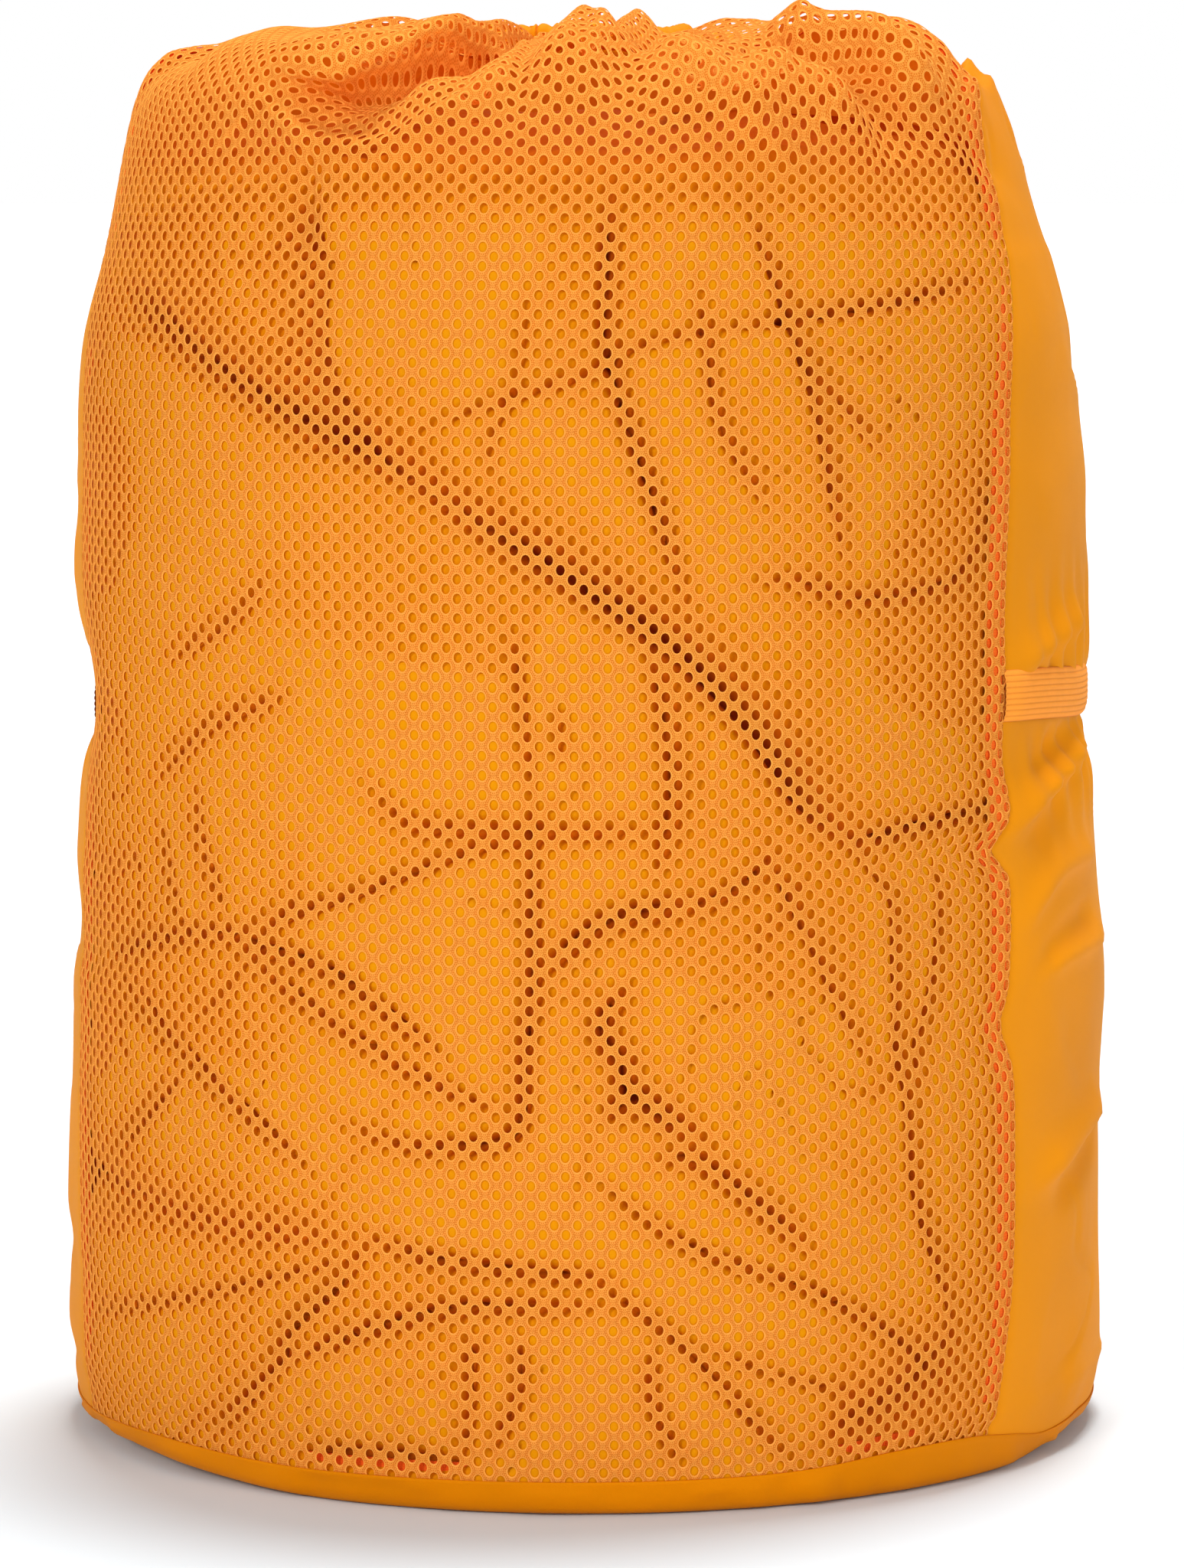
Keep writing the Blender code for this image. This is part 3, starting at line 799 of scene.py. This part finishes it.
def knit_piece(name, u, t, cloth, finish):
    """The cells of some of the holes: each a raised ring of yarn round a hole with a rolled lip."""
    sides = len(CELL)
    turns = 2 * np.pi * np.arange(sides) / sides
    unit = np.stack([np.cos(turns), HOLE_TALL * np.sin(turns)], axis=-1)
    rings = (
        (CELL, 0.0),
        (unit * (HOLE_RADIUS + 0.00045), 0.00010),
        (unit * HOLE_RADIUS, -0.00022),
    )
    points_u, points_t, outs = [], [], []
    slack = 1.0 - 0.14 * smoothstep(0.500, 0.545, t)[:, None]  # the holes close a little in slack cloth
    for ring, out in rings:
        size = 1.0 if out == 0.0 else slack
        points_u.append(u[:, None] + size * ring[None, :, 0])
        points_t.append(t[:, None] + size * ring[None, :, 1])
        outs.append(np.full((len(u), sides), out))
    points_u = np.stack(points_u, axis=1).reshape(-1)
    points_t = np.stack(points_t, axis=1).reshape(-1)
    outs = np.stack(outs, axis=1).reshape(-1)
    shared = outs == 0.0
    places = placed(points_u / HOLE_PITCH, (points_t - T_LOW) / ROW_PITCH)
    keys = np.round(np.stack([points_u, points_t], axis=-1) * 1e6 / 5).astype(np.int64)

    # The knit turns under at the side seams, and goes in behind the base.
    beyond = np.maximum(np.abs(points_u) - HALF_MESH, 0.0)
    points_u = np.clip(points_u, -HALF_MESH, HALF_MESH) - np.sign(points_u) * 0.3 * beyond
    outs = outs - 0.0012 * smoothstep(0.0, 0.0014, beyond)
    below = base_seam(angle_at(points_u, points_t)) - points_t
    outs = outs - 0.0012 * smoothstep(-0.0006, 0.0012, below)
    points = cloth.at(points_u, points_t, outs)

    cell = np.arange(len(u))[:, None, None] * (3 * sides)
    ring = np.arange(2)[None, :, None] * sides
    j = np.arange(sides)[None, None, :]
    k = (j + 1) % sides
    faces = np.stack(
        [cell + ring + j, cell + ring + k, cell + ring + sides + k, cell + ring + sides + j], axis=-1
    ).reshape(-1, 4)

    # Neighbouring cells share their corners.
    keys[~shared] = np.stack([np.arange((~shared).sum()), np.full((~shared).sum(), 10**9)], axis=-1)
    _, first, where = np.unique(keys, axis=0, return_index=True, return_inverse=True)
    return make_object(name, points[first], where.reshape(-1)[faces], finish, places[first])


def mesh_front(cloth, finish):
    """The knitted front, in bands so that each stays a manageable mesh."""
    u, t = hole_cells()
    cuts = (T_LOW, 0.178, 0.352, 0.510, T_TOP)
    names = ("mesh_front_lower", "mesh_front_middle", "mesh_front_upper", "mesh_front_gathered")
    for name, low, high in zip(names, cuts[:-1], cuts[1:], strict=True):
        part = (t >= low) & (t < high)
        piece = knit_piece(name, u[part], t[part], cloth, finish)
        settle(piece, "mesh_knit", "front_mesh_panel")


# ---- the nylon back and base --------------------------------------------------------------------

SEAM_LAP = 0.0003  # how far the nylon runs on behind the mesh at a seam


def nylon_back(cloth, finish):
    columns, rows = 340, 236
    us = np.linspace(HALF_MESH - SEAM_LAP, WALL_WIDTH - HALF_MESH + SEAM_LAP, columns)
    share = np.linspace(0.0, 1.0, rows)
    middle_t = np.full(columns, 0.02)
    low = base_seam(angle_at(us, middle_t))
    t = low[None, :] + (T_TOP - low)[None, :] * share[:, None]
    u = np.broadcast_to(us, t.shape)
    behind = np.minimum(u - HALF_MESH, WALL_WIDTH - HALF_MESH - u)
    out = -0.0012 + 0.0008 * smoothstep(0.0, 0.004, behind)
    points = cloth.at(u, t, out)
    piece = make_object("nylon_back", points, grid_faces(rows, columns), finish, placed(u, t))
    settle(piece, "nylon", "back_panel")


def nylon_base(cloth, finish):
    """The disc under the sack, and its edge that comes up outside the wall to the base seam."""
    columns, lap_rows, flat_rows = 300, 16, 18
    us = round_wall(columns)
    seam = base_seam(angle_at(us, np.full(columns, 0.02)))
    share = np.linspace(0.0, 1.0, lap_rows)[:, None]
    t = T_LOW + (seam - T_LOW)[None, :] * share
    t = np.concatenate([t, [seam + 0.0002, seam - 0.0004, seam - 0.0040]])
    outs = np.concatenate([np.full(lap_rows, 0.00035), [-0.0001, -0.0006, -0.0008]])[:, None]
    u = np.broadcast_to(us, t.shape)
    edge = cloth.at(u, t, np.broadcast_to(outs, t.shape))
    share = np.concatenate([share, np.ones((3, 1))])
    turned = np.radians(angle_at(u, t))
    outward = np.stack([np.sin(turned), -np.cos(turned), np.zeros(t.shape)], axis=-1)
    pucker = 0.0010 * ripple(u, t * 0.6, 0.020, 21) + 0.0010 * ripple(u, t, 0.070, 22)
    puffed = (pucker * smoothstep(0.05, 0.4, share) * (1.0 - smoothstep(0.7, 1.0, share)))[..., None]
    edge = edge + outward * puffed
    edge[..., 2] = np.maximum(edge[..., 2], 0.0)
    inner = edge[0] * np.linspace(0.02, 1.0, flat_rows, endpoint=False)[:, None, None]
    inner[..., 2] *= np.linspace(0.02, 1.0, flat_rows, endpoint=False)[:, None] ** 8
    points = np.concatenate([inner, edge])
    places = np.concatenate([inner, placed(u, t)])
    faces = grid_faces(len(points), columns, wrap=True)
    piece = make_object("nylon_base", points, faces, finish, places)
    settle(piece, "base_nylon", "base_panel")


# ---- the elastic band ---------------------------------------------------------------------------

RIBS = 9
BAND_THICKNESS = 0.0009


def band_line(cloth, us):
    """The band's middle line, as points and outward normals, smoothed along its length."""
    t = np.full(us.shape, float(cloth_height(BAND_HEIGHT))) + 0.002 * np.cos((us - HALF_MESH) * 3.0)
    t = t + 0.0042 * (1.0 - smoothstep(0.0, 0.11, us - HALF_MESH))
    points, normals = cloth.at(us, t), cloth.read(cloth.normals, us, t)
    kernel = np.hanning(25)
    kernel /= kernel.sum()

    def smooth(values):
        padded = np.pad(values, ((12, 12), (0, 0)), mode="reflect", reflect_type="odd")
        return np.stack([np.convolve(padded[:, c], kernel, mode="valid") for c in range(3)], axis=-1)

    lines = smooth(points)
    sideways = smooth(normals) * (1.0, 1.0, 0.0)
    return lines, sideways / np.linalg.norm(sideways, axis=-1, keepdims=True)


def elastic_band(cloth, finish):
    columns, around = 460, RIBS * 6
    us = np.linspace(HALF_MESH - 0.0008, WALL_WIDTH - HALF_MESH + 0.0008, columns)
    line, normal = band_line(cloth, us)
    across = np.linspace(-0.5, 0.5, around + 1)
    ribbed = 0.00032 * np.abs(np.sin(np.pi * RIBS * (across + 0.5))) ** 0.8
    bowed = 0.0013 - 0.0016 * np.abs(2 * across) ** 4
    under = 0.0018 * smoothstep(0.0, 0.012, us - us[0]) * smoothstep(0.003, 0.030, us[-1] - us) - 0.0006
    front = line + normal * under[:, None]
    lift = (across * BAND_WIDTH)[:, None, None] * (0.0, 0.0, 1.0)
    outer = front + normal * (ribbed + bowed)[:, None, None] + lift
    inner = front + normal * (bowed - BAND_THICKNESS)[:, None, None] + lift
    points = np.concatenate([outer, inner[::-1]])
    places = placed(us, np.concatenate([across, across[::-1]])[:, None] * BAND_WIDTH)
    faces = grid_faces(len(points), columns, closed=True)
    piece = make_object("elastic_band_ribbed", points, faces, finish, places)
    settle(piece, "elastic", "elastic_band")


# ---- the load -----------------------------------------------------------------------------------

LOAD_GAP = 0.0007  # from the cloth to the load where they touch
LOAD_LEAVES = 0.512  # t at which the load turns in from the wall
LOAD_TOP = (
    (0.166, 0.512), (0.150, 0.517), (0.125, 0.520), (0.090, 0.522), (0.045, 0.523), (0.015, 0.5232),
    (0.001, 0.5232),
)  # fmt: skip


def sleeping_bag(cloth, finish):
    front = np.linspace(-78.0, 78.0, 270)
    behind = np.linspace(78.0, 282.0, 62)[1:-1]
    angles = np.concatenate([front, behind])
    columns = len(angles)
    ts = np.concatenate([np.linspace(T_LOW + 0.004, 0.014, 8), np.arange(0.016, LOAD_LEAVES, 0.0021)])
    angle, t = np.meshgrid(angles, ts)
    middle = seam_course(t)
    in_mesh = angle / middle * HALF_MESH
    in_back = HALF_MESH + (angle - middle) / (360.0 - 2 * middle) * (WALL_WIDTH - MESH_WIDTH)
    u = np.where(angle <= middle, in_mesh, in_back)
    near = from_front(angle)
    x = np.radians(near) * REACH
    sunk = draw_strokes(CREASES, angle, t, True)
    crumple = ripple(x + 0.4 * t, t - 0.5 * x, 0.040, 31)
    sunk += 0.0030 * np.exp(-np.abs(crumple) / 0.05) * smoothstep(-0.2, 0.5, ripple(x, t, 0.09, 32))
    sunk += 0.0012 * smoothstep(0.0, 1.0, ripple(x, t, 0.05, 33))
    creased = np.maximum(sunk, 0.0) * (1.0 - smoothstep(0.488, 0.508, t))
    sunk = creased + 0.0045 * smoothstep(72.0, 84.0, np.abs(near))
    sunk += 0.010 * smoothstep(0.470, 0.525, t) ** 1.5
    wall = cloth.at(u, t, -LOAD_GAP - sunk)
    wall[..., 2] = np.maximum(wall[..., 2], 0.003)
    # Painted shade for the shell's colour: the creases' depth in millimetres, plus more towards the top
    # where the load turns in under the gathers.
    painted_shade = 1000 * creased + 5.5 * smoothstep(0.488, 0.515, t)
    wall_places = placed(x, t, painted_shade)

    # The top turns in under the gathers, as a low dome with soft radial folds.
    rim = wall[-1]
    rim_r = np.hypot(rim[:, 0] + LEAN, rim[:, 1])
    tops = []
    for r, z in spline(LOAD_TOP, 5):
        share = r / rim_r
        folded = 0.004 * np.cos(np.radians(angles) * 7 + 9 * share) * np.sin(np.pi * np.minimum(share, 1.0))
        scale = np.minimum(share, 0.985)[:, None]
        level = (rim[:, :2] + (LEAN, 0.0)) * scale - (LEAN, 0.0)
        tops.append(np.concatenate([level, (z - 0.002 + folded)[:, None]], axis=-1))
    bottoms = [wall[0] * (share, share, 0.0) + (0.0, 0.0, 0.003) for share in (0.05, 0.5)]
    points = np.concatenate([bottoms, wall, tops])
    top_places = np.repeat(wall_places[-1:], len(tops), axis=0)
    places = np.concatenate([wall_places[:1], wall_places[:1], wall_places, top_places])
    faces = grid_faces(len(points), columns, wrap=True)
    piece = make_object("sleeping_bag_load", points, faces, finish, places)
    settle(piece, "down_shell", "sleeping_bag")


# ---- bindings, stitches, the mouth --------------------------------------------------------------

TAPE_WIDTH = 0.010
THREAD_RADIUS = 0.00022


def side_binding(name, node, seam, inward, cloth, finish):
    """A grosgrain tape folded over a side seam on the inside, on the mesh's side of it."""
    ts = np.arange(0.030, T_TOP - 0.02, 0.0022)
    across = np.linspace(-0.5, 0.5, 7) * TAPE_WIDTH
    middle = seam - inward * TAPE_WIDTH / 2
    t, u = np.meshgrid(ts, middle + across, indexing="ij")
    bulge = -0.0016 + 0.0006 * np.cos(np.pi * (u - middle) / TAPE_WIDTH)
    front = cloth.at(u, t, bulge + 0.0003)
    back = cloth.at(u, t, bulge - 0.0004)
    points = np.concatenate([front, back[:, ::-1]], axis=1)
    columns = points.shape[1]
    places = placed(np.concatenate([t, t], axis=1), np.concatenate([u, u[:, ::-1]], axis=1))
    piece = make_object(name, points, grid_faces(len(ts), columns, wrap=True), finish, places)
    settle(piece, "binding_tape", node)


def base_binding(cloth, finish):
    """The tape that covers the base seam inside, all the way round."""
    columns = 420
    us = round_wall(columns)
    seam = base_seam(angle_at(us, np.full(columns, 0.02)))
    across = np.linspace(-0.4, 0.6, 6) * TAPE_WIDTH
    t = seam[None, :] + across[:, None]
    u = np.broadcast_to(us, t.shape)
    front = cloth.at(u, t, np.full(t.shape, -0.0034))
    back = cloth.at(u, t, np.full(t.shape, -0.0041))
    points = np.concatenate([front, back[::-1]])
    points[..., 2] = np.maximum(points[..., 2], 0.0012)
    places = placed(np.concatenate([u, u]), np.concatenate([t, t]))
    faces = grid_faces(len(points), columns, wrap=True, closed=True)
    piece = make_object("base_seam_tape", points, faces, finish, places)
    settle(piece, "binding_tape", "base_seam_binding")


def band_stitches(name, node, seam, inward, cloth, finish):
    """The zigzag of thread that holds an end of the band to the seam, under the mesh's edge."""
    u = seam - inward * 0.0040
    line, normal = band_line(cloth, np.linspace(u - 0.01, u + 0.01, 31))
    middle, out = Vector(line[15]), Vector(normal[15])
    side = Vector((0, 0, 1)).cross(out).normalized()
    curve = bpy.data.curves.new(name, "CURVE")
    curve.dimensions = "3D"
    curve.bevel_depth = THREAD_RADIUS
    curve.bevel_resolution = 2
    spline_made = curve.splines.new("POLY")
    count = 36
    spline_made.points.add(count - 1)
    for i, point in enumerate(spline_made.points):
        lift = (i / (count - 1) - 0.5) * (BAND_WIDTH - 0.002)
        place = middle + side * (0.0009 if i % 2 else -0.0009) - out * 0.0009 + Vector((0, 0, lift))
        point.co = (*place, 1.0)
    made = in_scene(name, curve)
    bpy.context.view_layer.update()
    data = bpy.data.meshes.new_from_object(made)
    bpy.data.objects.remove(made)
    data.name = name
    data.materials.clear()
    data.materials.append(finish)
    data.shade_smooth()
    settle(in_scene(name, data), "thread", node)


def drawcord_channel(finish):
    """The gathered hem round the mouth: a ruffled tube, open at its two ends at the back."""
    columns, around = 560, 18
    half_open = CHANNEL_OPEN_DEGREES / 2
    turns = np.radians(np.linspace(-180.0 + half_open, 180.0 - half_open, columns))[None, :]
    sides = (2 * np.pi * np.arange(around) / around)[:, None]
    phase = 52 * turns + 1.3 * np.sin(7 * turns) + 0.8 * np.sin(11 * turns + 1.0)
    pleat = np.abs(np.sin(phase / 2)) ** 0.7
    tube = CHANNEL_TUBE - 0.0014 + 0.0024 * pleat * (0.7 + 0.3 * np.sin(3 * turns + 2 * sides))
    sway = 0.0010 * np.sin(phase / 2 + 0.6 * sides)
    r = CHANNEL_RADIUS + tube * np.cos(sides)
    z = CHANNEL_HEIGHT + 0.001 * np.sin(4 * turns) + tube * np.sin(sides)
    turned = turns + sway / CHANNEL_RADIUS
    points = leaning(r, turned, z, LEAN)
    places = placed(turns * CHANNEL_RADIUS, sides * 0.006, r)
    faces = grid_faces(around, columns, closed=True)
    piece = make_object("drawcord_hem", points, faces, finish, places)
    settle(piece, "nylon", "drawcord_channel")


def drawcord(finish):
    """The braided cord inside the hem, seen only in the gap between the hem's ends."""
    columns, around = 300, 12
    turns = (2 * np.pi * np.arange(columns) / columns)[None, :]
    sides = (2 * np.pi * np.arange(around) / around)[:, None]
    tube = DRAWCORD_DIAMETER / 2 + 0.00008 * np.sin(90 * turns + 2 * sides) * np.sin(90 * turns - 2 * sides)
    r = CHANNEL_RADIUS + tube * np.cos(sides)
    z = CHANNEL_HEIGHT + tube * np.sin(sides) + 0 * turns
    points = leaning(r, turns, z, LEAN)
    places = placed(turns * CHANNEL_RADIUS, sides * DRAWCORD_DIAMETER / 2)
    faces = grid_faces(around, columns, wrap=True, closed=True)
    piece = make_object("drawcord_braided", points, faces, finish, places)
    settle(piece, "cord", "drawcord")


# ---- the stage ----------------------------------------------------------------------------------

CAMERA_DISTANCE = 2.38
CAMERA_HEIGHT = 0.4935
CAMERA_ANGLE = 10.0
CAMERA_YAW = 0.06  # past the sack's middle, to the right
CAMERA_PITCH = 5.735
LENS = 136.0  # millimetres, for a picture 36 millimetres tall
FLOOR_REACH = 400.0  # far enough for its edge to lie on the horizon

# The distant lamps: name, azimuth and elevation of the side they stand on, softness, strength.
LAMPS = (
    ("overhead", 10.0, 76.0, 18.0, 2.9),
    ("key", -160.0, 24.0, 18.0, 1.42),
    ("fill", 140.0, 8.0, 60.0, 1.75),
    ("side", -105.0, 10.0, 60.0, 0.5),
)


def camera():
    data = bpy.data.cameras.new("camera")
    data.sensor_fit = "VERTICAL"
    data.sensor_height = 36.0
    data.lens = LENS
    data.clip_end = 200.0
    made = in_scene("camera", data)
    turned = math.radians(CAMERA_ANGLE)
    made.location = (CAMERA_DISTANCE * math.sin(turned), -CAMERA_DISTANCE * math.cos(turned), CAMERA_HEIGHT)
    made.rotation_euler = (math.radians(90.0 - CAMERA_PITCH), 0.0, math.radians(CAMERA_ANGLE - CAMERA_YAW))
    bpy.context.scene.camera = made


def sunlight(name, azimuth, elevation, softness, strength):
    """A distant lamp that stands at an azimuth from +Y, positive towards +X, and an elevation."""
    data = bpy.data.lights.new(name, "SUN")
    data.angle = math.radians(softness)
    data.energy = strength
    turned, raised = math.radians(azimuth), math.radians(elevation)
    level = math.cos(raised)
    toward = Vector((math.sin(turned) * level, math.cos(turned) * level, math.sin(raised)))
    in_scene(name, data).rotation_euler = toward.to_track_quat("Z", "Y").to_euler()


def floor():
    data = bpy.data.meshes.new("floor")
    corners = [(x * FLOOR_REACH, y * FLOOR_REACH, 0) for x, y in ((-1, -1), (1, -1), (1, 1), (-1, 1))]
    data.from_pydata(corners, [], [(0, 1, 2, 3)])
    data.materials.append(Finish("floor", (0.70, 0.765, 0.80), 0.95, specular=0.0).made)
    made = in_scene("floor", data)
    made.location = (0.0, 0.0, -0.0004)


def studio():
    scene = bpy.context.scene
    scene.view_settings.view_transform = "Standard"
    world = bpy.data.worlds.new("studio")
    world.use_nodes = True
    background = world.node_tree.nodes["Background"]
    background.inputs["Color"].default_value = (1.0, 1.0, 1.0, 1.0)
    background.inputs["Strength"].default_value = 0.38
    backdrop = world.node_tree.nodes.new("ShaderNodeBackground")
    backdrop.inputs["Color"].default_value = (1.0, 1.0, 1.0, 1.0)
    path = world.node_tree.nodes.new("ShaderNodeLightPath")
    mixed = world.node_tree.nodes.new("ShaderNodeMixShader")
    links = world.node_tree.links
    links.new(path.outputs["Is Camera Ray"], mixed.inputs[0])
    links.new(background.outputs[0], mixed.inputs[1])
    links.new(backdrop.outputs[0], mixed.inputs[2])
    links.new(mixed.outputs[0], world.node_tree.nodes["World Output"].inputs["Surface"])
    scene.world = world
    for lamp in LAMPS:
        sunlight(*lamp)
    floor()
    camera()


# ---- the sack -----------------------------------------------------------------------------------


def main():
    studio()
    cloth = Cloth(CLOTH_STEP)
    knit = knit_finish()
    nylon = nylon_finish("nylon", (0.88, 0.308, 0.004), 0)
    base_nylon = nylon_finish("base_nylon", (0.76, 0.240, 0.0), 3)
    tape, elastic, thread, cord = tape_finish(), elastic_finish(), thread_finish(), cord_finish()

    sleeping_bag(cloth, load_finish())
    mesh_front(cloth, knit)
    nylon_back(cloth, nylon)
    nylon_base(cloth, base_nylon)
    elastic_band(cloth, elastic)
    side_seams = (("right", HALF_MESH, 1), ("left", WALL_WIDTH - HALF_MESH, -1))
    for side, seam, inward in side_seams:
        side_binding(f"side_seam_tape_{side}", f"seam_binding_{side}", seam, inward, cloth, tape)
    base_binding(cloth, tape)
    for side, seam, inward in side_seams:
        band_stitches(f"band_stitches_{side}", f"band_tack_{side}", seam, inward, cloth, thread)
    drawcord_channel(nylon)
    drawcord(cord)


main()
